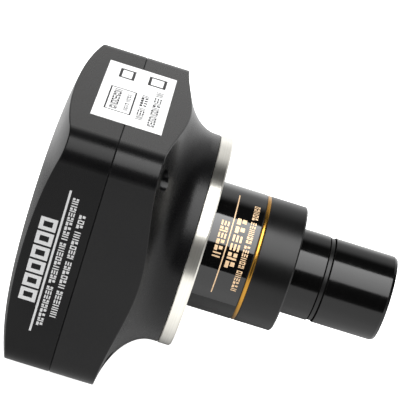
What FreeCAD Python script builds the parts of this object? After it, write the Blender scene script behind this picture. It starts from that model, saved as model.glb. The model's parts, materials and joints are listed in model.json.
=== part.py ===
import FreeCAD, Part
import math
import os

# Digital microscope camera with a screwed-in eyepiece adapter.
# X is the optical axis and points out of the nose, Z is up, Y is across.
# The origin is the centre of the step where the eyepiece tube leaves the adapter.

# Eyepiece tube and adapter
TUBE_R = 11.6  # standard 23.2 mm eyepiece tube
TUBE_LENGTH = 26.7
TUBE_BORE_R = 9.9
TUBE_END_CHAMFER = 0.8
TUBE_ROOT_R = 11.0
TUBE_ROOT_LENGTH = 8.9
TUBE_GROOVE_X = (8.1, 9.8)
TUBE_GROOVE_WALL = 0.4  # length of each sloping wall
TUBE_GROOVE_DEPTH = 0.3
ADAPTER_R = 17.1
ADAPTER_LENGTH = 24.2
ADAPTER_EDGE = 0.4
ADAPTER_BORE_R = 10.5
GOLD_RING_X = -10.5
GOLD_RING_HALF = 0.5
GOLD_RING_CROWN = 0.15
BAND_CHAMFER = 0.15  # on the adapter's edges next to the gold ring
COLLAR_SPIGOT_R = 15.0
COLLAR_SPIGOT_LENGTH = 5.0
COLLAR_BORE_R = 10.2
WRAP_LABEL_X = (-23.8, -11.3)
WRAP_LABEL_ANGLES = (-23.0, 201.0)  # degrees from -Y towards +Z
WRAP_LABEL_THICK = 0.08
WASHER_R = 14.6
WASHER_THICK = 0.4

# Lens stack in the tube: two cemented doublets and a long spacer
LENS_R = 9.85
LENS_LEDGE_X = -7.0
LENS_LEDGE_R = 8.6
LENS_OUTER_CURVE_R = 40.0
LENS_CEMENT_CURVE_R = 31.0
FLINT_EDGE = 2.5
CROWN_EDGE = 1.3
FRONT_FLINT_X = 18.05
RETAINER_LENGTH = 1.9
SPANNER_SLOT_DEPTH = 0.8
SPANNER_SLOT_HALF = 0.6

# C-mount: 25.4 mm thread, 32 turns per inch, sensor 17.526 mm behind the flange
FLANGE_X = -ADAPTER_LENGTH
THREAD_R = 12.7
THREAD_PITCH = 25.4 / 32.0
THREAD_LENGTH = 4.0
THREAD_DEPTH = 0.35
THREAD_FREE = 0.08
THREAD_FLANK = 0.45  # half width of a V cut, in pitches
THREAD_SKIN = 0.05  # how far a V cut starts outside the thread's crests
SENSOR_X = FLANGE_X - 17.526

# Aluminium mount ring
RING_R = 28.6
RING_THICK = 3.4
RING_CHAMFER = 0.4
RING_SPIGOT_R = 20.0
RING_SPIGOT_LENGTH = 1.8
RING_SCREW_CIRCLE_R = 24.2
RING_SCREW_HEAD_R = 2.4
RING_SCREW_R = 1.25
RING_SCREW_LENGTH = 9.0
RING_SCREW_SUNK = 0.15
CROSS_SLOT = (1.3, 0.25)  # half length and half width of a cross recess's arms
CROSS_SLOT_DEPTH = 0.8

# Housing: a rounded square prism with a flared neck in front and a crowned back
BODY_HALF = 34.0
BODY_CORNER_R = 7.0
WALL = 3.0
NECK_R = 28.5
NECK_LIP = 0.25
NECK_FRONT_X = FLANGE_X - RING_THICK - 0.05
FLARE_START_X = -29.0
FLARE_LENGTH = 11.7
FLARE_HEIGHT = 19.5
PARTING_X = -52.4
BACK_X = -69.9
CROWN_SQUARE = 9.6e-4  # crown height = square term * r^2 + quartic term * r^4
CROWN_QUARTIC = 8.75e-7
EDGE_BREAK = 0.35
SEAM_CHAMFER = 0.2
CAVITY_FRONT_X = -42.0
CAVITY_BACK_X = -63.5
CAVITY_CORNER_R = 4.0
BOSS_R = 4.6
BOSS_OFFSET = BODY_HALF - BODY_CORNER_R

# Housing screws, M3 socket head, in recesses open to the front
HOUSING_SCREW_SEAT_X = -46.0
HOUSING_SCREW_LENGTH = 16.0
HOUSING_SCREW_R = 1.5
HOUSING_SCREW_HEAD_R = 2.75
HOUSING_SCREW_HEAD = 3.0
HOUSING_SCREW_EDGE = 0.3
HOUSING_SCREW_KEY = 2.5  # across the flats of the hexagon socket
HOUSING_SCREW_KEY_DEPTH = 1.5
RECESS_R = 2.9

# Dust seal in the rear housing's joint face
SEAL_HALF = (32.0, 33.0)
SEAL_GROOVE_DEPTH = 0.8
SEAL_GAP_HALF = 8.0

# Window in front of the sensor
WINDOW_POCKET_R = 12.5
WINDOW_LEDGE_R = 9.5
WINDOW_LEDGE_X = -36.6
WINDOW_SEAL_THICK = 0.5
WINDOW_THICK = 1.0
WINDOW_RETAINER = 2.0
WINDOW_RETAINER_BORE_R = 10.2
SENSOR_CHAMBER_R = 17.0
SENSOR_CHAMBER_X = -38.4

# Circuit boards, standoffs and chips
BOARD_THICK = 1.6
SENSOR_BOARD_X = -43.1  # front face
SENSOR_BOARD_HALF = 22.5
BOARD_CORNER_R = 2.0
MAIN_BOARD_X = -58.2  # front face
MAIN_BOARD_HALF = 30.4
STANDOFF_OFFSET = 19.5
STANDOFF_ACROSS_FLATS = 5.0
STUD_R = 1.25
STUD_LENGTH = 5.4
STUD_HOLE_R = 1.35
TAPPED_DEPTH = 7.0
BOARD_SCREW_LENGTH = 6.0
BOARD_SCREW_HEAD_R = 2.2
BOARD_SCREW_HEAD = 1.5
PAD_R = 3.2
PACKAGE_HALF = 7.0
PACKAGE_RIM = 0.85  # height of the package's rim above the die's face
PACKAGE_WELL_HALF = 5.0
PACKAGE_WELL = 0.6
DIE_HALF = (4.0, 3.0)
COVER_GLASS_HALF = 6.2
COVER_GLASS_THICK = 0.55
PROCESSOR_HALF = 7.0
PROCESSOR_THICK = 1.4
THERMAL_PAD_THICK = 1.2
MEMORY_HALF = (4.5, 6.5)
MEMORY_THICK = 1.1
MEMORY_Y = -14.0
CONTROLLER_HALF = 4.5
CONTROLLER_THICK = 0.9
CONTROLLER_Y = 6.0
HEADER_Y = -17.0
HEADER_PITCH = 2.0
HEADER_PINS = 8
HEADER_HALF_WIDTH = 2.2
SOCKET_STRIP_HEIGHT = 8.5
PIN_HALF = 0.3
PIN_FREE = 0.05

# USB type-B socket in the +Y side
USB_X = (MAIN_BOARD_X, MAIN_BOARD_X + 10.9)
USB_HALF_WIDTH = 6.0
USB_Y = (17.6, 33.7)
USB_WALL = 0.4
USB_GAP = 0.3
USB_MOUTH_HALF = (3.89, 4.22)  # half height along X, half width along Z
USB_MOUTH_DEPTH = 9.5
USB_MOUTH_CORNER = 1.9
USB_LIP = 0.4  # how far the insulator's face lies inside the shell's rim
USB_TONGUE_HALF = (1.5, 2.8)
USB_TONGUE_LIP = 2.3  # how far the tongue ends inside the shell's rim
USB_STRIP_Z = 1.3
USB_STRIP_HALF = 0.5
USB_STRIP_THICK = 0.25

# Sticker across the seam on the +Z side
STICKER_X = (-61.4, -43.0)
STICKER_Y = (-17.4, 19.0)
STICKER_THICK = 0.12

CLEARANCE = 0.02
LABEL_GAP = 0.005
OVERLAP = 1.0  # how far a cutting tool runs past the face that it cuts
REACH = 60.0  # beyond any corner of the body

X_AXIS = FreeCAD.Vector(1, 0, 0)
Y_AXIS = FreeCAD.Vector(0, 1, 0)
ORIGIN = FreeCAD.Vector(0, 0, 0)
CORNERS = [(sy, sz) for sy in (-1, 1) for sz in (-1, 1)]
RING_SCREW_OFFSET = RING_SCREW_CIRCLE_R / math.sqrt(2.0)


# --- shape helpers ---


def point(x, y, z=0.0):
    return FreeCAD.Vector(x, y, z)


def rod(x0, x1, radius, y=0.0, z=0.0):
    """A cylinder along X between two stations."""
    return Part.makeCylinder(radius, x1 - x0, point(x0, y, z), X_AXIS)


def sleeve(x0, x1, outer, inner):
    """A tube along X, centred on the optical axis."""
    return rod(x0, x1, outer).cut(rod(x0 - OVERLAP, x1 + OVERLAP, inner))


def block(x0, x1, y0, y1, z0, z1):
    return Part.makeBox(x1 - x0, y1 - y0, z1 - z0, point(x0, y0, z0))


def plate(x0, x1, half_y, half_z, y=0.0, z=0.0):
    """A flat block square to X, centred on y and z."""
    return block(x0, x1, y - half_y, y + half_y, z - half_z, z + half_z)


def straight(points):
    """Straight edges from each point to the next."""
    return [Part.makeLine(a, b) for a, b in zip(points[:-1], points[1:])]


def turned(edges):
    """A solid turned about the optical axis from the edges of a closed outline."""
    face = Part.Face(Part.Wire(edges))
    return face.revolve(ORIGIN, X_AXIS, 360)


def turned_outline(pairs):
    """A turned solid from (station, radius) pairs joined by straight lines."""
    points = [point(x, r) for x, r in pairs]
    return turned(straight(points + points[:1]))


def arc(start, middle, end):
    return Part.Arc(start, middle, end).toShape()


def prism(x0, x1, half, corner):
    """A square bar along X with rounded corners."""
    bar = plate(x0, x1, half, half)
    long_edges = [e for e in bar.Edges if abs(e.tangentAt(e.FirstParameter).x) > 0.9]
    return bar.makeFillet(corner, long_edges)


def hexagon(x0, x1, across_flats, y=0.0, z=0.0):
    """A hexagonal bar along X."""
    radius = across_flats / math.sqrt(3.0)
    angles = [math.radians(60.0 * i) for i in range(7)]
    points = [point(x0, y + radius * math.cos(a), z + radius * math.sin(a)) for a in angles]
    return Part.Face(Part.makePolygon(points)).extrude(point(x1 - x0, 0.0))


def at_corners(make, offset):
    """One solid at each corner of a square of the given half-size."""
    return [make(sy * offset, sz * offset) for sy, sz in CORNERS]


def corner_rods(x0, x1, radius, offset):
    """Four rods along X at the corners of a square of the given half-size."""
    return at_corners(lambda y, z: rod(x0, x1, radius, y, z), offset)


def crossed(x0, x1, y, z):
    """The two arms of a screw head's cross recess."""
    long, narrow = CROSS_SLOT
    return [plate(x0, x1, long, narrow, y, z), plate(x0, x1, narrow, long, y, z)]


def cut_all(solid, tools):
    for tool in tools:
        solid = solid.cut(tool)
    return solid


def thread_grooves(x0, x1, radius, depth):
    """Ring-shaped V cuts that stand for a screw thread, inwards for a negative depth."""
    count = int((x1 - x0) / THREAD_PITCH)
    half = THREAD_FLANK * THREAD_PITCH
    skin = -math.copysign(THREAD_SKIN, depth)
    cuts = []
    for i in range(count):
        middle = x0 + (i + 0.5) * THREAD_PITCH
        sides = [(middle - half, radius + skin), (middle + half, radius + skin)]
        cuts.append(turned_outline(sides + [(middle, radius + depth)]))
    return cuts


def save(name, shape):
    """Write one node: a solid, or a list of solids that are alike or belong together."""
    if isinstance(shape, list):
        shape = Part.makeCompound(shape)
    shape.exportStep("parts/" + name + ".step")


# --- housing ---


def seam_chamfered(solid):
    """Break the outer edges of a skirt where the two shells meet."""
    rim = []
    for edge in solid.Edges:
        box = edge.BoundBox
        if max(abs(box.XMin - PARTING_X), abs(box.XMax - PARTING_X)) < 1e-4:
            rim.append(edge)
    return solid.makeChamfer(SEAM_CHAMFER, rim)


def edge_broken(solid):
    """Round the edge where the turned end meets the square sides."""
    rim = []
    for edge in solid.Edges:
        box = edge.BoundBox
        reach = max(abs(box.YMin), abs(box.YMax), abs(box.ZMin), abs(box.ZMax))
        along_x = max(box.YLength, box.ZLength) < 1e-3
        on_seam = min(abs(box.XMin - PARTING_X), abs(box.XMax - PARTING_X)) < 1.0
        if reach > NECK_R + OVERLAP and not along_x and not on_seam:
            rim.append(edge)
    return solid.makeFillet(EDGE_BREAK, rim)


def front_blank():
    """Neck, concave flare and square skirt, before hollowing."""
    rim_x = FLARE_START_X - FLARE_LENGTH
    rim_r = NECK_R + FLARE_HEIGHT
    rim = point(rim_x, rim_r)
    flare_root = point(FLARE_START_X, NECK_R)
    points = []
    steps = 24
    for i in range(steps + 1):
        angle = 0.5 * math.pi * i / steps
        x = FLARE_START_X - FLARE_LENGTH * math.sin(angle)
        points.append(point(x, rim_r - FLARE_HEIGHT * math.cos(angle)))
    curve = Part.BSplineCurve()
    curve.interpolate(points, InitialTangent=point(-1, 0), FinalTangent=point(0, 1))
    path = [
        rim,
        point(rim_x, REACH),
        point(PARTING_X, REACH),
        point(PARTING_X, 0.0),
        point(NECK_FRONT_X, 0.0),
        point(NECK_FRONT_X, NECK_R - NECK_LIP),
        point(NECK_FRONT_X - NECK_LIP, NECK_R),
        flare_root,
    ]
    shape = turned(straight(path) + [curve.toShape()])
    skirt = seam_chamfered(prism(PARTING_X, NECK_FRONT_X + OVERLAP, BODY_HALF, BODY_CORNER_R))
    return edge_broken(skirt.common(shape))


def back_blank():
    """Square skirt with the crowned back, before hollowing."""
    points = []
    steps = 16
    for i in range(steps + 1):
        radius = REACH * i / steps
        crown = CROWN_SQUARE * radius**2 + CROWN_QUARTIC * radius**4
        points.append(point(BACK_X + crown, radius))
    slope = 2 * CROWN_SQUARE * REACH + 4 * CROWN_QUARTIC * REACH**3
    curve = Part.BSplineCurve()
    curve.interpolate(points, InitialTangent=Y_AXIS, FinalTangent=point(slope, 1.0))
    path = [points[-1], point(PARTING_X, REACH), point(PARTING_X, 0.0), points[0]]
    shape = turned([curve.toShape()] + straight(path))
    skirt = seam_chamfered(prism(BACK_X - OVERLAP, PARTING_X, BODY_HALF, BODY_CORNER_R))
    return edge_broken(skirt.common(shape))


def usb_aperture():
    """The hole through the +Y wall for the USB socket, half in each shell."""
    width = USB_HALF_WIDTH + USB_GAP
    return block(USB_X[0] - USB_GAP, USB_X[1] + USB_GAP, USB_Y[0], REACH, -width, width)


def front_housing():
    shell = front_blank()
    hollow = prism(PARTING_X - OVERLAP, CAVITY_FRONT_X, BODY_HALF - WALL, CAVITY_CORNER_R)
    bosses = corner_rods(PARTING_X - 2 * OVERLAP, 0.0, BOSS_R, BOSS_OFFSET)
    pads = corner_rods(SENSOR_BOARD_X + CLEARANCE, 0.0, PAD_R, STANDOFF_OFFSET)
    shell = shell.cut(cut_all(hollow, bosses + pads))
    stud_end = SENSOR_BOARD_X - BOARD_THICK + STUD_LENGTH + 0.3
    holes = corner_rods(HOUSING_SCREW_SEAT_X, 0.0, RECESS_R, BOSS_OFFSET)
    holes += corner_rods(PARTING_X - OVERLAP, 0.0, HOUSING_SCREW_R + 0.1, BOSS_OFFSET)
    holes += corner_rods(PARTING_X, stud_end, STUD_R + CLEARANCE, STANDOFF_OFFSET)
    tap_end = FLANGE_X - RING_SCREW_LENGTH - 0.5
    holes += corner_rods(tap_end, 0.0, RING_SCREW_R + CLEARANCE, RING_SCREW_OFFSET)
    bores = [
        rod(NECK_FRONT_X - RING_SPIGOT_LENGTH - 0.1, 0.0, RING_SPIGOT_R + 0.05),
        rod(WINDOW_LEDGE_X, 0.0, WINDOW_POCKET_R),
        rod(CAVITY_FRONT_X - OVERLAP, 0.0, WINDOW_LEDGE_R),
        rod(CAVITY_FRONT_X - OVERLAP, SENSOR_CHAMBER_X, SENSOR_CHAMBER_R),
        usb_aperture(),
    ]
    return cut_all(shell, holes + bores)


def seal_loop(x0, x1, inset):
    """A square loop around the joint face, open at the USB socket."""
    inner = SEAL_HALF[0] + inset
    outer = SEAL_HALF[1] - inset
    corner = BODY_CORNER_R - (BODY_HALF - outer)
    loop = prism(x0, x1, outer, corner)
    loop = loop.cut(prism(x0 - OVERLAP, x1 + OVERLAP, inner, corner - (outer - inner)))
    gap = SEAL_GAP_HALF + inset
    return loop.cut(block(x0 - OVERLAP, x1 + OVERLAP, 0.0, REACH, -gap, gap))


def rear_housing():
    shell = back_blank()
    hollow = prism(CAVITY_BACK_X, PARTING_X + OVERLAP, BODY_HALF - WALL, CAVITY_CORNER_R)
    hollow = cut_all(hollow, corner_rods(BACK_X, 0.0, BOSS_R, BOSS_OFFSET))
    pedestal_top = MAIN_BOARD_X - BOARD_THICK - PROCESSOR_THICK - THERMAL_PAD_THICK - CLEARANCE
    pedestal_half = PROCESSOR_HALF + 1.0
    hollow = hollow.cut(plate(BACK_X, pedestal_top, pedestal_half, pedestal_half))
    screw_end = HOUSING_SCREW_SEAT_X - HOUSING_SCREW_LENGTH - 0.5
    taps = corner_rods(screw_end, 0.0, HOUSING_SCREW_R + CLEARANCE, BOSS_OFFSET)
    groove = seal_loop(PARTING_X - SEAL_GROOVE_DEPTH, PARTING_X + OVERLAP, 0.0)
    return cut_all(shell, [hollow] + taps + [groove, usb_aperture()])


def housing_seal():
    inset = 0.05
    return seal_loop(PARTING_X - SEAL_GROOVE_DEPTH + inset, PARTING_X - CLEARANCE, inset)


def housing_screw(y, z):
    """M3 cap screw with its head towards the front."""
    seat = HOUSING_SCREW_SEAT_X + CLEARANCE
    top = seat + HOUSING_SCREW_HEAD
    head = rod(seat, top, HOUSING_SCREW_HEAD_R, y, z)
    round_edge = [e for e in head.Edges if abs(e.BoundBox.XMin - top) < 1e-6]
    head = head.makeFillet(HOUSING_SCREW_EDGE, round_edge)
    key = hexagon(top - HOUSING_SCREW_KEY_DEPTH, top + OVERLAP, HOUSING_SCREW_KEY, y, z)
    shank = rod(seat - HOUSING_SCREW_LENGTH, seat, HOUSING_SCREW_R, y, z)
    return head.cut(key).fuse(shank).removeSplitter()


# --- mount ring and window ---


def countersink(y, z):
    """A cone for a mount ring screw's head, open towards the front face."""
    gap = 0.1
    face = FLANGE_X - gap
    depth = RING_SCREW_HEAD_R - RING_SCREW_R
    base = point(face - depth, y, z)
    cone = Part.makeCone(RING_SCREW_R + gap, RING_SCREW_HEAD_R + gap, depth, base, X_AXIS)
    return cone.fuse(rod(face, face + OVERLAP, RING_SCREW_HEAD_R + gap, y, z))


def mount_ring():
    back = FLANGE_X - RING_THICK
    spigot_end = back - RING_SPIGOT_LENGTH
    blank = turned_outline([
        (spigot_end, THREAD_R),
        (FLANGE_X, THREAD_R),
        (FLANGE_X, RING_R - RING_CHAMFER),
        (FLANGE_X - RING_CHAMFER, RING_R),
        (back + 0.2, RING_R),
        (back, RING_R - 0.2),
        (back, RING_SPIGOT_R),
        (spigot_end, RING_SPIGOT_R),
    ])
    ring = cut_all(blank, thread_grooves(spigot_end + 0.4, FLANGE_X - 0.4, THREAD_R, THREAD_DEPTH))
    holes = corner_rods(spigot_end - OVERLAP, 0.0, RING_SCREW_R + 0.1, RING_SCREW_OFFSET)
    return cut_all(ring, holes + at_corners(countersink, RING_SCREW_OFFSET))


def mount_ring_screw(y, z):
    """M2.5 countersunk screw with a cross slot."""
    face = FLANGE_X - RING_SCREW_SUNK
    depth = RING_SCREW_HEAD_R - RING_SCREW_R
    base = point(face - depth, y, z)
    head = Part.makeCone(RING_SCREW_R, RING_SCREW_HEAD_R, depth, base, X_AXIS)
    screw = head.fuse(rod(FLANGE_X - RING_SCREW_LENGTH, face - depth, RING_SCREW_R, y, z))
    return cut_all(screw, crossed(face - CROSS_SLOT_DEPTH, face + OVERLAP, y, z))


def window_seal():
    x0 = WINDOW_LEDGE_X + CLEARANCE
    return sleeve(x0, x0 + WINDOW_SEAL_THICK, WINDOW_POCKET_R - 0.1, WINDOW_LEDGE_R + 0.5)


def window_x():
    return WINDOW_LEDGE_X + WINDOW_SEAL_THICK + 2 * CLEARANCE


def window_glass():
    return rod(window_x(), window_x() + WINDOW_THICK, WINDOW_POCKET_R - 0.2)


def slotted_ring(x0, x1, outer, inner):
    """A threaded retaining ring with two spanner slots in its front face."""
    ring = sleeve(x0, x1, outer, inner)
    slot = plate(x1 - SPANNER_SLOT_DEPTH, x1 + OVERLAP, outer + OVERLAP, SPANNER_SLOT_HALF)
    return ring.cut(slot)


def window_retainer():
    x0 = window_x() + WINDOW_THICK + CLEARANCE
    outer = WINDOW_POCKET_R - CLEARANCE
    return slotted_ring(x0, x0 + WINDOW_RETAINER, outer, WINDOW_RETAINER_BORE_R)


# --- electronics ---


def sensor_board():
    back = SENSOR_BOARD_X - BOARD_THICK
    board = prism(back, SENSOR_BOARD_X, SENSOR_BOARD_HALF, BOARD_CORNER_R)
    return cut_all(board, corner_rods(PARTING_X, 0.0, STUD_HOLE_R, STANDOFF_OFFSET)).cut(header_holes())


def sensor_package():
    """Ceramic package with a shallow well for the die."""
    body = plate(SENSOR_BOARD_X + CLEARANCE, SENSOR_X + PACKAGE_RIM, PACKAGE_HALF, PACKAGE_HALF)
    return body.cut(plate(SENSOR_X - PACKAGE_WELL, 0.0, PACKAGE_WELL_HALF, PACKAGE_WELL_HALF))


def sensor_die():
    return plate(SENSOR_X - PACKAGE_WELL + CLEARANCE, SENSOR_X, DIE_HALF[0], DIE_HALF[1])


def sensor_cover_glass():
    x0 = SENSOR_X + PACKAGE_RIM + CLEARANCE
    return plate(x0, x0 + COVER_GLASS_THICK, COVER_GLASS_HALF, COVER_GLASS_HALF)


def main_board():
    back = MAIN_BOARD_X - BOARD_THICK
    board = prism(back, MAIN_BOARD_X, MAIN_BOARD_HALF, BOARD_CORNER_R)
    notches = corner_rods(BACK_X, 0.0, BOSS_R + 0.6, BOSS_OFFSET)
    return cut_all(board, notches + corner_rods(BACK_X, 0.0, STUD_HOLE_R, STANDOFF_OFFSET))


def standoff(y, z):
    """Hexagonal spacer with a stud at the front and a tapped hole at the back."""
    x0 = MAIN_BOARD_X + CLEARANCE
    x1 = SENSOR_BOARD_X - BOARD_THICK - CLEARANCE
    body = hexagon(x0, x1, STANDOFF_ACROSS_FLATS, y, z)
    body = body.fuse(rod(x1, x1 + STUD_LENGTH, STUD_R, y, z))
    return body.cut(rod(x0 - OVERLAP, x0 + TAPPED_DEPTH, STUD_R + CLEARANCE, y, z))


def board_screw(y, z):
    """Pan-head screw from behind the main board."""
    seat = MAIN_BOARD_X - BOARD_THICK - CLEARANCE
    back = seat - BOARD_SCREW_HEAD
    head = rod(back, seat, BOARD_SCREW_HEAD_R, y, z)
    head = cut_all(head, crossed(back - OVERLAP, back + CROSS_SLOT_DEPTH, y, z))
    return head.fuse(rod(seat, seat + BOARD_SCREW_LENGTH, STUD_R, y, z))


def pin_places():
    first = -0.5 * HEADER_PITCH * (HEADER_PINS - 1)
    rows = (HEADER_Y - 0.5 * HEADER_PITCH, HEADER_Y + 0.5 * HEADER_PITCH)
    return [(y, first + HEADER_PITCH * i) for y in rows for i in range(HEADER_PINS)]


def header_holes():
    half = PIN_HALF + PIN_FREE
    return Part.makeCompound([plate(BACK_X, 0.0, half, half, y, z) for y, z in pin_places()])


def header_block(x0, x1):
    half_length = 0.5 * HEADER_PITCH * HEADER_PINS
    return plate(x0, x1, HEADER_HALF_WIDTH, half_length, HEADER_Y).cut(header_holes())


def board_header():
    back = SENSOR_BOARD_X - BOARD_THICK
    return header_block(MAIN_BOARD_X + SOCKET_STRIP_HEIGHT + 0.1, back - CLEARANCE)


def board_socket_strip():
    return header_block(MAIN_BOARD_X + CLEARANCE, MAIN_BOARD_X + SOCKET_STRIP_HEIGHT)


def header_pins():
    front = SENSOR_BOARD_X - 0.1
    return [plate(MAIN_BOARD_X + 1.0, front, PIN_HALF, PIN_HALF, y, z) for y, z in pin_places()]


def image_processor():
    back = MAIN_BOARD_X - BOARD_THICK - CLEARANCE
    return plate(back - PROCESSOR_THICK, back, PROCESSOR_HALF, PROCESSOR_HALF)


def thermal_pad():
    front = MAIN_BOARD_X - BOARD_THICK - PROCESSOR_THICK - 2 * CLEARANCE
    return plate(front - THERMAL_PAD_THICK + 2 * CLEARANCE, front, PROCESSOR_HALF, PROCESSOR_HALF)


def memory_chip():
    back = MAIN_BOARD_X - BOARD_THICK - CLEARANCE
    return plate(back - MEMORY_THICK, back, MEMORY_HALF[0], MEMORY_HALF[1], MEMORY_Y)


def usb_controller():
    top = MAIN_BOARD_X + CONTROLLER_THICK
    return plate(MAIN_BOARD_X + CLEARANCE, top, CONTROLLER_HALF, CONTROLLER_HALF, CONTROLLER_Y)


# --- USB socket ---


def usb_box(inset, y0, y1):
    """The socket's outline, drawn in by an inset on its four long sides."""
    half = USB_HALF_WIDTH - inset
    return block(USB_X[0] + CLEARANCE + inset, USB_X[1] - inset, y0, y1, -half, half)


def usb_shell():
    return usb_box(0.0, USB_Y[0], USB_Y[1]).cut(usb_box(USB_WALL, USB_Y[0] + USB_WALL, REACH))


def usb_centre_x():
    return 0.5 * (USB_X[0] + USB_X[1])


def usb_mouth_y():
    """How deep a plug goes in."""
    return USB_Y[1] - USB_LIP - USB_MOUTH_DEPTH


def usb_mouth():
    """The plug's space: a square with its two upper corners cut off."""
    half_x, half_z = USB_MOUTH_HALF
    cut = USB_MOUTH_CORNER
    x = usb_centre_x()
    y = usb_mouth_y()
    pairs = [
        (x - half_x, -half_z),
        (x - half_x, half_z),
        (x + half_x - cut, half_z),
        (x + half_x, half_z - cut),
        (x + half_x, -half_z + cut),
        (x + half_x - cut, -half_z),
    ]
    points = [point(px, y, pz) for px, pz in pairs]
    return Part.Face(Part.makePolygon(points + points[:1])).extrude(point(0.0, REACH))


def usb_insulator():
    """Moulded block with the mouth and the tongue that carries the contacts."""
    inset = USB_WALL + CLEARANCE
    body = usb_box(inset, USB_Y[0] + inset, USB_Y[1] - USB_LIP).cut(usb_mouth())
    half_x, half_z = USB_TONGUE_HALF
    x = usb_centre_x()
    root = USB_Y[0] + 2 * OVERLAP
    tongue = block(x - half_x, x + half_x, root, USB_Y[1] - USB_TONGUE_LIP, -half_z, half_z)
    return body.fuse(tongue).removeSplitter()


def usb_contacts():
    """Four sprung strips, two on each face of the tongue."""
    half_x = USB_TONGUE_HALF[0]
    x = usb_centre_x()
    y0 = usb_mouth_y() + 0.2
    y1 = USB_Y[1] - USB_TONGUE_LIP - 0.6
    strips = []
    for side in (-1, 1):
        faces = sorted((x + side * (half_x + CLEARANCE), x + side * (half_x + USB_STRIP_THICK)))
        for z in (-USB_STRIP_Z, USB_STRIP_Z):
            strips.append(block(faces[0], faces[1], y0, y1, z - USB_STRIP_HALF, z + USB_STRIP_HALF))
    return strips


# --- stickers ---


def serial_sticker():
    x0, x1 = STICKER_X
    y0, y1 = STICKER_Y
    return block(x0, x1, y0, y1, BODY_HALF + LABEL_GAP, BODY_HALF + STICKER_THICK)


def wrap_label():
    """Printed film around part of the barrel."""
    start, end = WRAP_LABEL_ANGLES
    x0, x1 = WRAP_LABEL_X
    inner = ADAPTER_R + LABEL_GAP
    face = Part.Face(Part.Wire(straight([
        point(x0, -inner),
        point(x1, -inner),
        point(x1, -ADAPTER_R - WRAP_LABEL_THICK),
        point(x0, -ADAPTER_R - WRAP_LABEL_THICK),
        point(x0, -inner),
    ])))
    # Turning about -X carries the -Y side up towards +Z.
    face.rotate(ORIGIN, X_AXIS, -start)
    return face.revolve(ORIGIN, X_AXIS, start - end)


# --- eyepiece adapter ---


def adapter_barrel():
    """Rear half of the adapter, with the C-mount thread and a recess for the washer."""
    shoulder = FLANGE_X + 0.03
    spigot_end = FLANGE_X - THREAD_LENGTH
    male = THREAD_R - THREAD_FREE
    front = GOLD_RING_X - GOLD_RING_HALF
    socket = front - COLLAR_SPIGOT_LENGTH
    recess = shoulder + WASHER_THICK + 0.1
    barrel = turned_outline([
        (spigot_end, ADAPTER_BORE_R),
        (socket, ADAPTER_BORE_R),
        (socket, COLLAR_SPIGOT_R + CLEARANCE),
        (front, COLLAR_SPIGOT_R + CLEARANCE),
        (front, ADAPTER_R - BAND_CHAMFER),
        (front - BAND_CHAMFER, ADAPTER_R),
        (shoulder + ADAPTER_EDGE, ADAPTER_R),
        (shoulder, ADAPTER_R - ADAPTER_EDGE),
        (shoulder, WASHER_R + 0.2),
        (recess, WASHER_R + 0.2),
        (recess, male - THREAD_DEPTH),
        (shoulder - 0.3, male - THREAD_DEPTH),
        (shoulder - 0.6, male),
        (spigot_end + 0.3, male),
        (spigot_end, male - 0.3),
    ])
    return cut_all(barrel, thread_grooves(spigot_end + 0.2, shoulder - 0.6, male, -THREAD_DEPTH))


def adapter_washer():
    """Loose shim around the thread, between the mount ring and the adapter."""
    x0 = FLANGE_X + 0.05
    return sleeve(x0, x0 + WASHER_THICK, WASHER_R, THREAD_R + 0.1)


def gold_ring():
    """Crowned brass band held between the two halves of the adapter."""
    half = GOLD_RING_HALF - CLEARANCE
    inner = COLLAR_SPIGOT_R + 0.05
    edge_r = ADAPTER_R - GOLD_RING_CROWN
    back = point(GOLD_RING_X - half, edge_r)
    front = point(GOLD_RING_X + half, edge_r)
    crown = arc(back, point(GOLD_RING_X, ADAPTER_R), front)
    sides = straight([front, point(front.x, inner), point(back.x, inner), back])
    return turned([crown] + sides)


def adapter_collar():
    """Front half of the adapter, which holds the eyepiece tube."""
    back = GOLD_RING_X + GOLD_RING_HALF
    end = GOLD_RING_X - GOLD_RING_HALF - COLLAR_SPIGOT_LENGTH + 0.1
    root_end = -TUBE_ROOT_LENGTH - 0.1
    return turned_outline([
        (end, COLLAR_BORE_R),
        (root_end, COLLAR_BORE_R),
        (root_end, TUBE_ROOT_R + CLEARANCE),
        (-CLEARANCE, TUBE_ROOT_R + CLEARANCE),
        (-CLEARANCE, ADAPTER_R - ADAPTER_EDGE),
        (-CLEARANCE - ADAPTER_EDGE, ADAPTER_R),
        (back + BAND_CHAMFER, ADAPTER_R),
        (back, ADAPTER_R - BAND_CHAMFER),
        (back, COLLAR_SPIGOT_R),
        (end, COLLAR_SPIGOT_R),
    ])


def eyepiece_tube():
    """Standard tube with a threaded root, a shallow groove and a ledge for the lenses."""
    groove_r = TUBE_R - TUBE_GROOVE_DEPTH
    return turned_outline([
        (-TUBE_ROOT_LENGTH, LENS_LEDGE_R),
        (LENS_LEDGE_X, LENS_LEDGE_R),
        (LENS_LEDGE_X, TUBE_BORE_R),
        (TUBE_LENGTH - 0.3, TUBE_BORE_R),
        (TUBE_LENGTH, TUBE_BORE_R + 0.3),
        (TUBE_LENGTH, TUBE_R - 0.5 * TUBE_END_CHAMFER),
        (TUBE_LENGTH - TUBE_END_CHAMFER, TUBE_R),
        (TUBE_GROOVE_X[1], TUBE_R),
        (TUBE_GROOVE_X[1] - TUBE_GROOVE_WALL, groove_r),
        (TUBE_GROOVE_X[0] + TUBE_GROOVE_WALL, groove_r),
        (TUBE_GROOVE_X[0], TUBE_R),
        (0.0, TUBE_R),
        (0.0, TUBE_ROOT_R),
        (-TUBE_ROOT_LENGTH, TUBE_ROOT_R),
    ])


def sagitta(curve_radius, radius):
    return curve_radius - math.sqrt(curve_radius**2 - radius**2)


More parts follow.
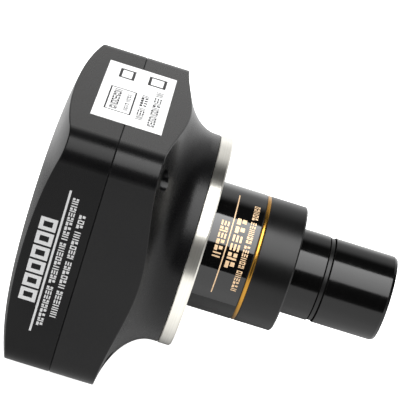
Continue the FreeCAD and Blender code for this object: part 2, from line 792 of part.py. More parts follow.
def flint_lens(flat_x, facing):
    """Plano-concave element. Facing is +1 when the hollow side looks along +X."""
    edge = flat_x + facing * FLINT_EDGE
    middle = edge - facing * sagitta(LENS_CEMENT_CURVE_R, LENS_R)
    half = LENS_R / 2
    half_x = middle + facing * sagitta(LENS_CEMENT_CURVE_R, half)
    hollow = arc(point(edge, LENS_R), point(half_x, half), point(middle, 0.0))
    path = [point(middle, 0.0), point(flat_x, 0.0), point(flat_x, LENS_R), point(edge, LENS_R)]
    return turned([hollow] + straight(path))


def crown_lens(flat_x, facing):
    """Biconvex element that nests in the flint's hollow side."""
    back = flat_x + facing * (FLINT_EDGE + CLEARANCE)
    front = back + facing * CROWN_EDGE
    back_apex = back - facing * sagitta(LENS_CEMENT_CURVE_R, LENS_R)
    front_apex = front + facing * sagitta(LENS_OUTER_CURVE_R, LENS_R)
    half = LENS_R / 2
    back_half = back_apex + facing * sagitta(LENS_CEMENT_CURVE_R, half)
    front_half = front_apex - facing * sagitta(LENS_OUTER_CURVE_R, half)
    inner = arc(point(back_apex, 0.0), point(back_half, half), point(back, LENS_R))
    rim = Part.makeLine(point(back, LENS_R), point(front, LENS_R))
    outer = arc(point(front, LENS_R), point(front_half, half), point(front_apex, 0.0))
    axis = Part.makeLine(point(front_apex, 0.0), point(back_apex, 0.0))
    return turned([inner, rim, outer, axis])


def lens_seat(flat_x):
    """The station where a ring of the spacer's bore meets the crown's outer face."""
    edge = flat_x + FLINT_EDGE + CLEARANCE + CROWN_EDGE
    rise = sagitta(LENS_OUTER_CURVE_R, LENS_R) - sagitta(LENS_OUTER_CURVE_R, LENS_LEDGE_R)
    return edge + rise + CLEARANCE


def rear_flat_x():
    return LENS_LEDGE_X + CLEARANCE


def lens_spacer():
    return sleeve(lens_seat(rear_flat_x()), FRONT_FLINT_X - CLEARANCE, LENS_R, LENS_LEDGE_R)


def lens_retainer():
    x0 = lens_seat(FRONT_FLINT_X)
    return slotted_ring(x0, x0 + RETAINER_LENGTH, TUBE_BORE_R - CLEARANCE, LENS_LEDGE_R)


os.makedirs("parts", exist_ok=True)

NODES = {
    "front_housing": front_housing(),
    "rear_housing": rear_housing(),
    "housing_seal": housing_seal(),
    "housing_screws": at_corners(housing_screw, BOSS_OFFSET),
    "mount_ring": mount_ring(),
    "mount_ring_screws": at_corners(mount_ring_screw, RING_SCREW_OFFSET),
    "window_seal": window_seal(),
    "window_glass": window_glass(),
    "window_retainer": window_retainer(),
    "sensor_board": sensor_board(),
    "sensor_package": sensor_package(),
    "sensor_die": sensor_die(),
    "sensor_cover_glass": sensor_cover_glass(),
    "board_standoffs": at_corners(standoff, STANDOFF_OFFSET),
    "board_screws": at_corners(board_screw, STANDOFF_OFFSET),
    "board_header": board_header(),
    "board_socket_strip": board_socket_strip(),
    "header_pins": header_pins(),
    "main_board": main_board(),
    "image_processor": image_processor(),
    "thermal_pad": thermal_pad(),
    "memory_chip": memory_chip(),
    "usb_controller": usb_controller(),
    "usb_shell": usb_shell(),
    "usb_insulator": usb_insulator(),
    "usb_contacts": usb_contacts(),
    "serial_sticker": serial_sticker(),
    "adapter_washer": adapter_washer(),
    "adapter_barrel": adapter_barrel(),
    "wrap_label": wrap_label(),
    "gold_ring": gold_ring(),
    "adapter_collar": adapter_collar(),
    "eyepiece_tube": eyepiece_tube(),
    "rear_flint_lens": flint_lens(rear_flat_x(), 1),
    "rear_crown_lens": crown_lens(rear_flat_x(), 1),
    "lens_spacer": lens_spacer(),
    "front_flint_lens": flint_lens(FRONT_FLINT_X, 1),
    "front_crown_lens": crown_lens(FRONT_FLINT_X, 1),
    "lens_retainer": lens_retainer(),
}

for node_name, node_shape in NODES.items():
    save(node_name, node_shape)
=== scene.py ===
import json
import math
import random

import bmesh
import bpy
from mathutils import Matrix, Vector


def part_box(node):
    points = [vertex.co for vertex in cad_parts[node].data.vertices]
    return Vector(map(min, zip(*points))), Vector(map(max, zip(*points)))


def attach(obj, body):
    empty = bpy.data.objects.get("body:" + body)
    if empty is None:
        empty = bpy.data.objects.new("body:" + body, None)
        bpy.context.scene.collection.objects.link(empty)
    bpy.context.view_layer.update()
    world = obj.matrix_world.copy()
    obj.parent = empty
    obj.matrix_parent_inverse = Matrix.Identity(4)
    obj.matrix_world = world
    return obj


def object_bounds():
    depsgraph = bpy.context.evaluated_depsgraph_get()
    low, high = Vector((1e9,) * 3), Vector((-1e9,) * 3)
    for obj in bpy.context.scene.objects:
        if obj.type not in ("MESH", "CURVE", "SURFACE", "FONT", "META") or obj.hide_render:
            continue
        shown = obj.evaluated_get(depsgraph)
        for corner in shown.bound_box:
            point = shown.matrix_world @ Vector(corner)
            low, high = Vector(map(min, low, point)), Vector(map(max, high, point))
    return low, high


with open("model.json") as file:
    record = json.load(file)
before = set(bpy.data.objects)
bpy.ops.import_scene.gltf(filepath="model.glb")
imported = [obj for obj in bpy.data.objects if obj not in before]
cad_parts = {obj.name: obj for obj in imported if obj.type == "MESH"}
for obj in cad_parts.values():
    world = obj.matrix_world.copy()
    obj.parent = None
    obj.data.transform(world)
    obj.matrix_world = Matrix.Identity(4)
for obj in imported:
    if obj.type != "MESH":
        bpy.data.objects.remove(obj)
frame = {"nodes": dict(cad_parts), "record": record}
CAD_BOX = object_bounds()

# The row frame is in metres; sizes here are in millimetres times MM.
# X is the optical axis and points out of the nose, Z is up, and -Y faces the camera.
MM = 0.001

# Camera
CAMERA_SIDE = Vector((-0.0408, -0.8971, 0.4399))  # from the object to the camera
CAMERA_DISTANCE = 480 * MM
CAMERA_ROLL = math.radians(17.29)
CAMERA_AIM = Vector((-27.85, 4.59, 9.48)) * MM
CAMERA_LENS = 163.25  # focal length in millimetres
CAMERA_NEAREST = 10 * MM

# Table top, in metres. The camera sees a pale table lit from below, as a light table is.
# Reflections see a darker table, with a painted shadow of the object on it: its glow is lowered in an
# ellipse round the object.
TABLE_HALF = 2.5
TABLE_CELLS = 8
TABLE_FRONT = 0.24  # from the object to the table's near edge
TABLE_DROP = 6 * MM  # below the lowest point of the object
TABLE_TONES = (0.78, 0.8)
TABLE_MOTTLE = 20.0  # noise scale per metre
TABLE_ROUGH = 0.9
TABLE_GLOW = 1.05
REFLECTED_TONE = 0.28
REFLECTED_GLOW = (0.06, 1.0)  # in the painted shadow of the object, and clear of it
# Middle and half size of the painted shadow on the table, in metres.
SHADE_MIDDLE = (-0.09, 0.044)
SHADE_HALF = (0.155, 0.073)
SHADE_FADE = (0.75, 1.25)  # from full shade to none, as parts of the shade's half size

# Lamp over the object. Its angle runs from the far horizon, over the top, to the near one.
LAMP_ANGLE = math.radians(120.0)
LAMP_DISTANCE = 0.9
LAMP_WIDTH = 1.0
LAMP_HEIGHT = 0.88
LAMP_RADIANCE = 8.2
LAMP_DIM = 0.55  # the near edge's strength, as a part of the far edge's

# Backdrop and room: light by direction. Angles are above the far horizon.
BACKDROP_LIGHT = 0.88
BACKDROP_TOP = (math.radians(44.0), math.radians(66.0))  # it fades out between these
BACKDROP_LOW = (math.radians(10.0), math.radians(26.0))  # it is brighter below these
BACKDROP_LOW_GAIN = 1.5
BACKDROP_MIDDLE = 0.13  # the direction's X part at its middle
BACKDROP_SIDES = (0.35, 0.78)  # it dims between these, to either side of its middle
BACKDROP_DIM = 0.3
STRAIGHT_DOWN = -0.5 * math.pi
WALLS_NEAR = (-0.1, -0.5)  # pale walls left and right of the camera, by the direction's Y part
WALLS_SIDES = (0.35, 0.6)
WALLS_LIGHT = 0.5
ROOM_LIGHT = 0.02
WHITE = (1, 1, 1, 1)

# Noise scales per millimetre
BODY_GRAIN = 5.5
BODY_CLOUD = 0.07
METAL_MARKS = 9.0
METAL_SMUDGE = 0.18
BLACK_MARKS = 6.0
BLACK_CLOUD = 0.12
FILM_PEEL = 1.1
FILM_SMEAR = 0.35
INK_COVER = 3.0
PLAIN_MOTTLE = 1.5
GLASS_DUST = 2.2
BOARD_TRACKS = 0.6

# Rubbed edges, lighter along sharp edges: real wear and a painted edge highlight. Edge width in
# millimetres, noise scale, least wear, and where the noise starts
BODY_EDGE_WEAR_AND_HIGHLIGHT = (0.35, 0.9, 0.15, 0.35)
BODY_RUBBED_AND_HIGHLIGHT = (0.07, 0.07, 0.072, 1)
BODY_RUBBED_AND_HIGHLIGHT_COVER = 0.5
BODY_RUBBED_GLOSS = 0.05  # how much smoother a rubbed edge is
BLACK_EDGE_WEAR_AND_HIGHLIGHT = (0.25, 1.1, 0.1, 0.4)
BLACK_RUBBED_AND_HIGHLIGHT = (0.12, 0.115, 0.11, 1)
BLACK_RUBBED_AND_HIGHLIGHT_COVER = 0.6
EDGE_SAMPLES = 6
EDGE_TURN = (0.02, 0.25)  # from no edge to a full edge, by how far the rounded normal turns

# Body finish
BODY_TONES = ((0.0018, 0.0018, 0.002, 1), (0.0032, 0.0031, 0.0032, 1))
# Dust and a painted sheen: faces that look up are lighter.
BODY_DUST_AND_SHEEN = (0.022, 0.0215, 0.021, 1)
BODY_DUST_AND_SHEEN_UP = (0.985, 1.0)  # from none to full dust and painted sheen, by the Z part of the face's normal
BODY_DUST_AND_SHEEN_COVER = (0.8, 1.0)
BODY_ROUGH = (0.25, 0.29)
BODY_GRAIN_ROUGH = (-0.02, 0.03)
BODY_GRAIN_DEPTH = 0.003
SEAM = (-52.5, -52.3)  # X from the rear shell to the front shell, in millimetres
SHELL_LEVELS = (0.14, 0.21)  # specular level of the rear shell and of the front shell

# Other finishes
METAL_SMUDGED = 0.3  # how far a smudge goes to the dark tone
METAL_SPREAD = 0.05
METAL_MARKS_ROUGH = 0.03
QUARTER_TURN = 0.25  # turns the drawn-out highlights across the rings
BLACK_TONES = (0.8, 1.2)
BLACK_SPREAD = 0.04
BLACK_MARKS_ROUGH = 0.02
RECESS_DULL = 0.2  # how much rougher a turned recess is than the face round it
FILM_DARK = 0.95
FILM_SPREAD = 0.06
FILM_PEEL_DEPTH = 0.002
INK_WORN = 0.8
INK_SPREAD = 0.1
PLAIN_DARK = 0.75
PLAIN_SPREAD = 0.12
PLAIN_DEPTH = 0.01
GLASS_IOR = 1.52
GLASS_DULL = 0.05
COATING_IOR = 1.38
BOARD_TONES = ((0.01, 0.09, 0.04, 1), (0.03, 0.2, 0.09, 1))
BOARD_ROUGH = 0.3
BOARD_DEPTH = 0.03
TRACK_WIDTH = 0.04

# Prints
INK_SUNK = -0.004 * MM
INK_PROUD = 0.008 * MM
LEAST_ROOM = 0.9  # a row ends when less than this part of a pattern's width is left
WORD_GAP = 0.6  # extra gap after a word, as a part of a pattern's width
BLOCK_COUNT = 6
BLOCK_START = -12.6
BLOCK_STEP = 4.12
BLOCK_WIDTH = 3.55

# Patterns that stand for printed characters: plain bars in a unit cell, each as
# (height from, height to, width from, width to).
BARS = (
    ((0.0, 1.0, 0.0, 0.3), (0.0, 1.0, 0.7, 1.0)),
    ((0.0, 0.22, 0.0, 1.0), (0.39, 0.61, 0.0, 1.0), (0.78, 1.0, 0.0, 1.0)),
    ((0.0, 0.22, 0.0, 1.0), (0.78, 1.0, 0.0, 1.0), (0.22, 0.78, 0.0, 0.28), (0.22, 0.78, 0.72, 1.0)),
    ((0.0, 0.4, 0.0, 1.0), (0.55, 1.0, 0.35, 1.0)),
    ((0.0, 1.0, 0.0, 0.3), (0.0, 0.4, 0.45, 1.0), (0.6, 1.0, 0.45, 1.0)),
)

random.seed(11)


# ---------------------------------------------------------------- node helpers


class Nodes:
    """A short way to write a node tree."""

    def __init__(self, tree):
        self.tree = tree

    def add(self, kind, **values):
        """A new node, with its properties set by name."""
        node = self.tree.nodes.new(kind)
        for key, value in values.items():
            setattr(node, key, value)
        return node

    def put(self, node, socket, value):
        """Link an output into a socket, or set the socket's value."""
        target = node.inputs[socket]
        if isinstance(value, bpy.types.NodeSocket):
            self.tree.links.new(value, target)
        else:
            target.default_value = value

    def math(self, operation, a, b=0.0):
        node = self.add("ShaderNodeMath", operation=operation)
        self.put(node, 0, a)
        self.put(node, 1, b)
        return node.outputs[0]

    def plus(self, a, b):
        return self.math("ADD", a, b)

    def minus(self, a, b):
        return self.math("SUBTRACT", a, b)

    def times(self, a, b):
        return self.math("MULTIPLY", a, b)

    def most(self, a, b):
        return self.math("MAXIMUM", a, b)

    def split(self, vector):
        node = self.add("ShaderNodeSeparateXYZ")
        self.put(node, 0, vector)
        return node.outputs

    def geometry(self, output):
        return self.add("ShaderNodeNewGeometry").outputs[output]

    def seen(self):
        """1 for what the camera sees directly, and 0 for reflections and light on surfaces."""
        return self.add("ShaderNodeLightPath").outputs["Is Camera Ray"]

    def remap(self, value, low, high, to_low, to_high, **values):
        """Map low to high onto to_low to to_high, and hold still beyond both ends."""
        node = self.add("ShaderNodeMapRange", **values)
        for index, number in enumerate((value, low, high, to_low, to_high)):
            self.put(node, index, number)
        return node.outputs[0]

    def ease(self, value, low, high, to_low, to_high):
        """The same as remap, with soft ends."""
        return self.remap(value, low, high, to_low, to_high, interpolation_type="SMOOTHSTEP")


class Surface(Nodes):
    """A material's node tree, with the patterns that the materials share."""

    def __init__(self, name):
        self.material = bpy.data.materials.new(name)
        self.material.use_nodes = True
        super().__init__(self.material.node_tree)

    def position(self):
        """Row-frame position in millimetres: the CAD objects all sit at the origin."""
        scaled = self.add("ShaderNodeVectorMath", operation="SCALE")
        self.put(scaled, 0, self.add("ShaderNodeTexCoord").outputs["Object"])
        self.put(scaled, "Scale", 1 / MM)
        return scaled.outputs[0]

    def noise(self, vector, scale, detail=3.0, roughness=0.55):
        node = self.add("ShaderNodeTexNoise")
        self.put(node, "Vector", vector)
        self.put(node, "Scale", scale)
        self.put(node, "Detail", detail)
        self.put(node, "Roughness", roughness)
        return node.outputs[0]

    def vary(self, pattern, low, high, start=0.3, end=0.7):
        """Spread a noise pattern, most of which lies between start and end, over low to high."""
        return self.remap(pattern, start, end, low, high)

    def mix(self, factor, a, b):
        node = self.add("ShaderNodeMix", data_type="RGBA")
        self.put(node, 0, factor)
        self.put(node, 6, a)
        self.put(node, 7, b)
        return node.outputs[2]

    def bump(self, height, depth):
        """A normal for relief of a depth in millimetres."""
        node = self.add("ShaderNodeBump")
        self.put(node, "Height", height)
        self.put(node, "Distance", depth * MM)
        return node.outputs[0]

    def edges(self, width):
        """1 along sharp edges and 0 on open faces: how far a rounded normal leaves the true one."""
        bevel = self.add("ShaderNodeBevel", samples=EDGE_SAMPLES)
        self.put(bevel, "Radius", width * MM)
        dot = self.add("ShaderNodeVectorMath", operation="DOT_PRODUCT")
        self.put(dot, 0, bevel.outputs[0])
        self.put(dot, 1, self.geometry("Normal"))
        return self.remap(self.minus(1.0, dot.outputs["Value"]), *EDGE_TURN, 0.0, 1.0)

    def wear_and_highlight(self, place, width, scale, least, start):
        """How rubbed a surface is, with a painted highlight: only along its sharp edges, and unevenly."""
        return self.times(self.edges(width), self.vary(self.noise(place, scale), least, 1.0, start=start))

    def lathe_marks(self, place, scale, detail, roughness):
        """Noise that is the same all round the X axis, as turning marks are."""
        x, y, z = self.split(place)
        rings = self.add("ShaderNodeCombineXYZ")
        self.put(rings, 0, x)
        self.put(rings, 1, self.math("SQRT", self.plus(self.times(y, y), self.times(z, z))))
        return self.noise(rings.outputs[0], scale, detail, roughness)

    def finish(self, **values):
        """Set the surface's sockets by name, and return the material."""
        shader = self.tree.nodes["Principled BSDF"]
        for key, value in values.items():
            self.put(shader, key.replace("_", " ").title().replace("Ior", "IOR"), value)
        return self.material


def grey(value):
    return (value, value, value, 1.0)


def shaded(colour, part):
    return tuple(part * c for c in colour[:3]) + (1.0,)


# ---------------------------------------------------------------- materials


def anodised_body(name):
    """Bead-blasted black anodised aluminium, with rubbed edges that carry a painted highlight, and dust
    with a painted sheen that lightens faces that look up.
    """
    n = Surface(name)
    place = n.position()
    grain = n.noise(place, BODY_GRAIN, detail=2.0)
    cloud = n.noise(place, BODY_CLOUD)
    wear_and_highlight = n.wear_and_highlight(place, *BODY_EDGE_WEAR_AND_HIGHLIGHT)
    upward = n.remap(n.split(n.geometry("Normal"))[2], *BODY_DUST_AND_SHEEN_UP, 0.0, 1.0)
    colour = n.mix(n.vary(cloud, 0.0, 1.0), *BODY_TONES)
    # Faces that look up are lighter: dust and a painted sheen where the top face catches the light.
    colour = n.mix(n.times(upward, n.vary(grain, *BODY_DUST_AND_SHEEN_COVER)), colour, BODY_DUST_AND_SHEEN)
    # Rubbed edges are lighter: wear and a painted highlight along the edges.
    colour = n.mix(n.times(wear_and_highlight, BODY_RUBBED_AND_HIGHLIGHT_COVER), colour, BODY_RUBBED_AND_HIGHLIGHT)
    rough = n.plus(n.vary(cloud, *BODY_ROUGH), n.vary(grain, *BODY_GRAIN_ROUGH))
    rough = n.minus(rough, n.times(wear_and_highlight, BODY_RUBBED_GLOSS))
    relief = n.bump(grain, BODY_GRAIN_DEPTH)
    level = n.remap(n.split(place)[0], *SEAM, *SHELL_LEVELS)
    return n.finish(base_color=colour, roughness=rough, normal=relief, specular_ior_level=level)


def turned_metal(name, colour, dark, rough, groove, spread):
    """Bare turned metal: lathe rings round the axis, and highlights drawn out across them."""
    n = Surface(name)
    place = n.position()
    marks = n.lathe_marks(place, METAL_MARKS, detail=4.0, roughness=0.7)
    smudge = n.noise(place, METAL_SMUDGE, detail=4.0)
    shade = n.mix(n.vary(marks, 0.0, 1.0), dark, colour)
    shade = n.mix(n.vary(smudge, 0.0, METAL_SMUDGED, start=0.45, end=0.75), shade, dark)
    gloss = n.vary(smudge, rough, rough + METAL_SPREAD)
    gloss = n.plus(gloss, n.vary(marks, -METAL_MARKS_ROUGH, METAL_MARKS_ROUGH))
    tangent = n.add("ShaderNodeTangent", direction_type="RADIAL", axis="X").outputs[0]
    return n.finish(
        base_color=shade, metallic=1.0, roughness=gloss, normal=n.bump(marks, groove),
        anisotropic=spread, anisotropic_rotation=QUARTER_TURN, tangent=tangent,
    )


def turned_black(name, tone, rough, groove, level, spread=BLACK_SPREAD, recess=None):
    """Black anodised turned part: fine rings round the axis, and rubbed edges that carry a painted
    highlight.

    A recess is given as its middle along X, the half length of its floor and its own half length.
    Its floor is duller than the face, and its walls get painted shade: their specular reflection is taken
    away."""
    n = Surface(name)
    place = n.position()
    marks = n.lathe_marks(place, BLACK_MARKS, detail=3.0, roughness=0.6)
    cloud = n.noise(place, BLACK_CLOUD)
    wear_and_highlight = n.wear_and_highlight(place, *BLACK_EDGE_WEAR_AND_HIGHLIGHT)
    colour = n.mix(n.vary(marks, 0.0, 1.0), *(grey(tone * part) for part in BLACK_TONES))
    # Rubbed edges are lighter: wear and a painted highlight along the edges.
    colour = n.mix(n.times(wear_and_highlight, BLACK_RUBBED_AND_HIGHLIGHT_COVER), colour, BLACK_RUBBED_AND_HIGHLIGHT)
    gloss = n.vary(cloud, rough, rough + spread)
    gloss = n.plus(gloss, n.vary(marks, -BLACK_MARKS_ROUGH, BLACK_MARKS_ROUGH))
    if recess:
        middle, floor_half, recess_half = recess
        away = n.math("ABSOLUTE", n.minus(n.split(place)[0], middle))
        inside = n.math("LESS_THAN", away, recess_half)
        wall_shade = n.times(inside, n.math("GREATER_THAN", away, floor_half))
        gloss = n.plus(gloss, n.times(inside, RECESS_DULL))
        # Painted shade on the recess walls: no specular reflection, so they turn black.
        level = n.times(n.minus(1.0, wall_shade), level)
    relief = n.bump(marks, groove)
    return n.finish(base_color=colour, roughness=gloss, normal=relief, specular_ior_level=level)


def film(name, tone, rough, level):
    """Printed label film: smooth, with a faint orange-peel and finger marks."""
    n = Surface(name)
    place = n.position()
    relief = n.bump(n.noise(place, FILM_PEEL, detail=2.0), FILM_PEEL_DEPTH)
    smear = n.noise(place, FILM_SMEAR, detail=4.0)
    colour = n.mix(n.vary(smear, 0.0, 1.0, start=0.4), grey(tone), grey(tone * FILM_DARK))
    gloss = n.vary(smear, rough, rough + FILM_SPREAD, start=0.4, end=0.75)
    return n.finish(base_color=colour, roughness=gloss, normal=relief, specular_ior_level=level)


def ink(name, colour, rough, metallic=0.0):
    """Screen-printed ink with slightly uneven cover."""
    n = Surface(name)
    cover = n.noise(n.position(), INK_COVER)
    shade = n.mix(n.vary(cover, 0.0, 1.0, start=0.45), colour, shaded(colour, INK_WORN))
    gloss = n.vary(cover, rough, rough + INK_SPREAD)
    return n.finish(base_color=shade, roughness=gloss, metallic=metallic)


def plain(name, colour, rough, metallic=0.0, depth=PLAIN_DEPTH):
    """Moulded or plated stuff with light mottling and texture."""
    n = Surface(name)
    mottle = n.noise(n.position(), PLAIN_MOTTLE)
    shade = n.mix(n.vary(mottle, 0.0, 1.0, start=0.35), colour, shaded(colour, PLAIN_DARK))
    gloss = n.vary(mottle, rough, rough + PLAIN_SPREAD)
    return n.finish(base_color=shade, roughness=gloss, metallic=metallic, normal=n.bump(mottle, depth))


def coated_glass(name, tint, coating):
    """Optical glass with an anti-reflection coating, whose thickness is in nanometres."""
    n = Surface(name)
    dust = n.noise(n.position(), GLASS_DUST, detail=4.0)
    gloss = n.vary(dust, 0.0, GLASS_DULL, start=0.55, end=0.8)
    return n.finish(
        base_color=tint, roughness=gloss, transmission_weight=1.0, ior=GLASS_IOR,
        thin_film_thickness=coating, thin_film_ior=COATING_IOR,
    )


def circuit_board(name):
    """Green solder mask with faint copper tracks under it."""
    n = Surface(name)
    flat = n.add("ShaderNodeVectorMath", operation="MULTIPLY")
    n.put(flat, 0, n.position())
    n.put(flat, 1, (0.0, 1.0, 1.0))
    tracks = n.add("ShaderNodeTexBrick")
    n.put(tracks, "Vector", flat.outputs[0])
    n.put(tracks, "Scale", BOARD_TRACKS)
    n.put(tracks, "Mortar Size", TRACK_WIDTH)
    lines = tracks.outputs["Fac"]
    relief = n.bump(lines, BOARD_DEPTH)
    return n.finish(base_color=n.mix(lines, *BOARD_TONES), roughness=BOARD_ROUGH, normal=relief)


# Each material slot's maker and its values. Depths and lengths are in millimetres.
MATERIALS = {
    "black_body": (anodised_body, dict()),
    "bare_ring": (turned_metal, dict(
        colour=(0.88, 0.86, 0.8, 1), dark=(0.74, 0.72, 0.65, 1), rough=0.34, groove=0.003, spread=0.95)),
    "gold_band": (turned_metal, dict(
        colour=(0.5, 0.27, 0.05, 1), dark=(0.36, 0.17, 0.025, 1), rough=0.22, groove=0.002, spread=0.0)),
    "black_adapter": (turned_black, dict(tone=0.002, rough=0.29, groove=0.0015, level=0.28)),
    "black_tube": (turned_black, dict(
        tone=0.0015, rough=0.12, groove=0.0008, level=0.34, spread=0.03, recess=(8.95, 0.46, 0.87))),
    "steel_screws": (plain, dict(colour=(0.1, 0.1, 0.105, 1), rough=0.28, metallic=1.0)),
    "steel_hardware": (plain, dict(colour=(0.6, 0.6, 0.58, 1), rough=0.25, metallic=1.0)),
    "brass_hardware": (plain, dict(colour=(0.8, 0.6, 0.3, 1), rough=0.25, metallic=1.0)),
    "seal_rubber": (plain, dict(colour=(0.02, 0.02, 0.02, 1), rough=0.6)),
    "window_coated": (coated_glass, dict(tint=(0.82, 0.95, 0.97, 1), coating=120.0)),
    "lens_glass": (coated_glass, dict(tint=(0.93, 0.98, 0.96, 1), coating=140.0)),
    "board_green": (circuit_board, dict()),
    "chip_black": (plain, dict(colour=(0.03, 0.03, 0.033, 1), rough=0.45)),
    "connector_black": (plain, dict(colour=(0.025, 0.025, 0.025, 1), rough=0.4)),
    "usb_white": (plain, dict(colour=(0.78, 0.78, 0.75, 1), rough=0.3)),
    "contact_gold": (plain, dict(colour=(0.95, 0.68, 0.25, 1), rough=0.2, metallic=1.0)),
    "ceramic_package": (plain, dict(colour=(0.55, 0.52, 0.5, 1), rough=0.55)),
    "silicon": (plain, dict(colour=(0.25, 0.28, 0.36, 1), rough=0.06, metallic=1.0, depth=0.0)),
    "thermal_gum": (plain, dict(colour=(0.35, 0.42, 0.55, 1), rough=0.6)),
    "sticker_film": (film, dict(tone=0.84, rough=0.35, level=0.5)),
    "wrap_film": (film, dict(tone=0.002, rough=0.05, level=0.6)),
}


def dress_cad_nodes():
    """Give every CAD node its slot's material."""
    made = {name: maker(name, **values) for name, (maker, values) in MATERIALS.items()}
    slot_of = {entry["node"]: entry["material_slot"] for entry in frame["record"]["subparts"]}
    for name, node in frame["nodes"].items():
        material = made[slot_of[name]]
        if not node.material_slots:
            node.data.materials.append(material)
        for place in node.material_slots:
            place.material = material


# ---------------------------------------------------------------- prints


def add_object(name, mesh, material):
    """Turn a bmesh into an object of the scene."""
    data = bpy.data.meshes.new(name)
    mesh.to_mesh(data)
    mesh.free()
    data.materials.append(material)
    made = bpy.data.objects.new(name, data)
    bpy.context.scene.collection.objects.link(made)
    return made


def add_print(name, boxes, wrap, material, body):
    """Thin closed patches of ink.

    Each box is (u0, u1, v0, v1, steps along v), and wrap turns (u, v, height) into a point."""
    mesh = bmesh.new()
    for u0, u1, v0, v1, steps in boxes:
        corners = ((u0, INK_SUNK), (u1, INK_SUNK), (u1, INK_PROUD), (u0, INK_PROUD))
        rings = []
        for i in range(steps + 1):
            v = v0 + (v1 - v0) * i / steps
            rings.append([mesh.verts.new(wrap(u, v, height)) for u, height in corners])
        for a, b in zip(rings[:-1], rings[1:]):
            for k in range(4):
                mesh.faces.new((a[k], a[(k + 1) % 4], b[(k + 1) % 4], b[k]))
        mesh.faces.new(rings[0][::-1])
        mesh.faces.new(rings[-1])
    bmesh.ops.recalc_face_normals(mesh, faces=mesh.faces)
    piece = add_object(name, mesh, material)
    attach(piece, body)


def bar_row(start, end, u0, u1, width, gap, word, steps=1):
    """A row of bar patterns along v, in words of a set length, that stands for a line of text."""
    boxes = []
    v = start
    count = 0
    while end - v >= LEAST_ROOM * width:
        for low, high, left, right in random.choice(BARS):
            across = (u0 + (u1 - u0) * low, u0 + (u1 - u0) * high)
            boxes.append((*across, v + width * left, v + width * right, steps))
        count += 1
        v += width + gap + (WORD_GAP * width if count % word == 0 else 0.0)
    return boxes


def rule(u0, u1, v0, v1, steps=1):
    """One straight bar of ink."""
    return [(u0, u1, v0, v1, steps)]


def ruled_box(u0, u1, v0, v1, line):
    """The four sides of a box, drawn with a line of one width."""
    ends = rule(u0, u1, v0, v0 + line) + rule(u0, u1, v1 - line, v1)
    sides = rule(u0, u0 + line, v0 + line, v1 - line) + rule(u1 - line, u1, v0 + line, v1 - line)
    return ends + sides


def side_print():
    """White marks on the -Y side: a row of boxes, a long thin rule and two fine rows.

    Here u runs along X and v along Z, in millimetres."""
    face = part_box("rear_housing")[0].y

    def wrap(u, v, height):
        return Vector((u * MM, face - height, v * MM))

    boxes = []
    for i in range(BLOCK_COUNT):
        start = BLOCK_START + BLOCK_STEP * i
        boxes += ruled_box(u0=-65.15, u1=-60.8, v0=start, v1=start + BLOCK_WIDTH, line=1.0)
    boxes += rule(u0=-60.25, u1=-59.7, v0=-20.8, v1=20.5)
    boxes += bar_row(start=-18.6, end=18.9, u0=-58.95, u1=-57.4, width=1.05, gap=0.3, word=9)
    boxes += bar_row(start=-15.1, end=15.4, u0=-56.3, u1=-54.7, width=1.05, gap=0.3, word=6)
    white = ink("white_ink", colour=(0.46, 0.46, 0.46, 1), rough=0.5)
    add_print("side_print", boxes, wrap, white, "camera_body")


def sticker_print():
    """Dark marks on the sticker: a ruled box with two rows in it, two rows and two plain outlines.

    Here u runs along X and v along Y, in millimetres."""
    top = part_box("serial_sticker")[1].z

    def wrap(u, v, height):
        return Vector((u * MM, v * MM, top + height))

    boxes = ruled_box(u0=-58.9, u1=-51.9, v0=-11.6, v1=3.2, line=0.42)
    boxes += bar_row(start=-10.4, end=2.0, u0=-57.7, u1=-55.7, width=1.3, gap=0.3, word=9)
    boxes += bar_row(start=-9.6, end=0.6, u0=-54.1, u1=-53.0, width=0.9, gap=0.35, word=4)
    boxes += bar_row(start=-12.4, end=4.2, u0=-50.5, u1=-48.7, width=1.2, gap=0.3, word=5)
    boxes += bar_row(start=-14.6, end=7.6, u0=-47.2, u1=-45.3, width=1.2, gap=0.35, word=12)
    boxes += ruled_box(u0=-58.0, u1=-53.8, v0=9.9, v1=16.0, line=0.75)
    boxes += ruled_box(u0=-50.1, u1=-45.3, v0=10.3, v1=16.2, line=0.75)
    dark = ink("grey_ink", colour=(0.012, 0.012, 0.013, 1), rough=0.5)
    add_print("sticker_print", boxes, wrap, dark, "camera_body")


def wrap_print():
    """Pale gold marks round the adapter's label, and a thin rule.

    Here u runs along X in millimetres, and v is an angle up from -Y in degrees."""
    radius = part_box("wrap_label")[1].z

    def wrap(u, v, height):
        angle = math.radians(v)
        reach = radius + height
        return Vector((u * MM, -reach * math.cos(angle), reach * math.sin(angle)))

    boxes = rule(u0=-18.75, u1=-18.45, v0=-14.5, v1=85.5, steps=40)
    boxes += bar_row(start=19.0, end=52.5, u0=-21.5, u1=-19.4, width=4.4, gap=1.3, word=9, steps=3)
    boxes += bar_row(start=12.8, end=58.5, u0=-17.65, u1=-15.2, width=6.0, gap=1.8, word=9, steps=4)
    boxes += bar_row(start=-6.3, end=78.0, u0=-14.15, u1=-12.65, width=2.5, gap=0.95, word=6, steps=2)
    gold = ink("gold_ink", colour=(0.72, 0.5, 0.3, 1), rough=0.4, metallic=0.3)
    add_print("wrap_print", boxes, wrap, gold, "adapter")


# ---------------------------------------------------------------- stage


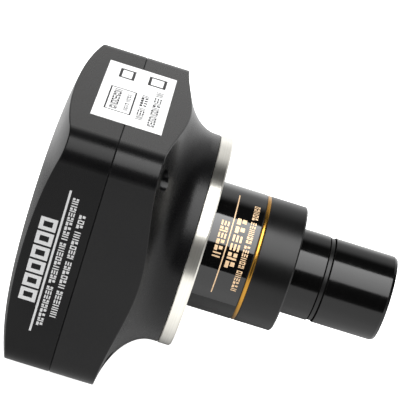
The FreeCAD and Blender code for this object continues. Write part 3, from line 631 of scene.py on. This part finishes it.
def table_top():
    """A pale table top that reaches past the view and ends in front of the object."""
    n = Surface("pale_floor")
    place = n.geometry("Position")
    reach = 0.0
    # Painted shadow: the glow that reflections see is lowered in an ellipse round the object.
    for along, middle, half in zip(n.split(place), SHADE_MIDDLE, SHADE_HALF):
        part = n.math("DIVIDE", n.minus(along, middle), half)
        reach = n.plus(n.times(part, part), reach)
    shade = n.remap(n.math("SQRT", reach), *SHADE_FADE, *REFLECTED_GLOW)
    seen = n.seen()
    tone = n.mix(n.noise(place, TABLE_MOTTLE, detail=2.0), *(grey(value) for value in TABLE_TONES))
    material = n.finish(
        base_color=n.mix(seen, grey(REFLECTED_TONE), tone), roughness=TABLE_ROUGH,
        emission_color=WHITE, emission_strength=n.most(shade, n.times(seen, TABLE_GLOW)),
    )
    mesh = bmesh.new()
    bmesh.ops.create_grid(mesh, x_segments=TABLE_CELLS, y_segments=TABLE_CELLS, size=TABLE_HALF)
    floor = add_object("floor", mesh, material)
    floor.location = (0, TABLE_HALF - TABLE_FRONT, CAD_BOX[0].z - TABLE_DROP)


def soft_box():
    """A rectangular lamp over the object, whose near edge is dimmer than its far edge."""
    lamp = bpy.data.lights.new("top_box", "AREA")
    lamp.shape = "RECTANGLE"
    lamp.size = LAMP_WIDTH
    lamp.size_y = LAMP_HEIGHT
    lamp.energy = LAMP_RADIANCE * math.pi * LAMP_WIDTH * LAMP_HEIGHT
    lamp.use_nodes = True
    n = Nodes(lamp.node_tree)
    across = n.split(n.geometry("Parametric"))[1]
    n.put(n.tree.nodes["Emission"], "Strength", n.remap(across, 0.0, 1.0, LAMP_DIM, 1.0))
    aim = (CAD_BOX[0] + CAD_BOX[1]) / 2
    way = Vector((0.0, math.cos(LAMP_ANGLE), math.sin(LAMP_ANGLE)))
    holder = bpy.data.objects.new("top_box", lamp)
    holder.location = aim + way * LAMP_DISTANCE
    holder.rotation_mode = "QUATERNION"
    holder.rotation_quaternion = (-way).to_track_quat("-Z", "Y")
    bpy.context.scene.collection.objects.link(holder)


def surroundings():
    """A white backdrop behind the object, pale walls beside the camera, and a dark room round them."""
    world = bpy.data.worlds.new("studio")
    world.use_nodes = True
    n = Nodes(world.node_tree)
    x, y, z = n.split(n.add("ShaderNodeTexCoord").outputs["Generated"])
    across = n.math("ABSOLUTE", n.minus(x, BACKDROP_MIDDLE))
    angle = n.math("ARCTAN2", z, y)
    backdrop = n.ease(angle, *BACKDROP_TOP, BACKDROP_LIGHT, ROOM_LIGHT)
    backdrop = n.times(backdrop, n.remap(angle, *BACKDROP_LOW, BACKDROP_LOW_GAIN, 1.0))
    backdrop = n.times(backdrop, n.math("GREATER_THAN", angle, STRAIGHT_DOWN))
    backdrop = n.times(backdrop, n.ease(across, *BACKDROP_SIDES, 1.0, BACKDROP_DIM))
    walls = n.remap(across, *WALLS_SIDES, 0.0, WALLS_LIGHT)
    walls = n.times(walls, n.remap(y, *WALLS_NEAR, 0.0, 1.0))
    light = n.most(n.most(backdrop, walls), ROOM_LIGHT)
    background = n.tree.nodes["Background"]
    n.put(background, "Color", WHITE)
    n.put(background, "Strength", n.most(light, n.seen()))
    bpy.context.scene.world = world


def camera():
    """A long-lens view, rolled so that the nose points down to the right."""
    side = CAMERA_SIDE.normalized()
    axis = (Vector((1, 0, 0)) - side * side.x).normalized()
    over = side.cross(axis)
    right = axis * math.cos(CAMERA_ROLL) + over * math.sin(CAMERA_ROLL)
    turn = Matrix((right, side.cross(right), side)).transposed().to_4x4()
    data = bpy.data.cameras.new("camera")
    data.lens = CAMERA_LENS
    data.clip_start = CAMERA_NEAREST
    holder = bpy.data.objects.new("camera", data)
    holder.matrix_world = Matrix.Translation(CAMERA_AIM + side * CAMERA_DISTANCE) @ turn
    bpy.context.scene.collection.objects.link(holder)
    bpy.context.scene.camera = holder


# ---------------------------------------------------------------- build

dress_cad_nodes()
side_print()
sticker_print()
wrap_print()
table_top()
surroundings()
soft_box()
camera()
bpy.context.scene.view_settings.view_transform = "Standard"
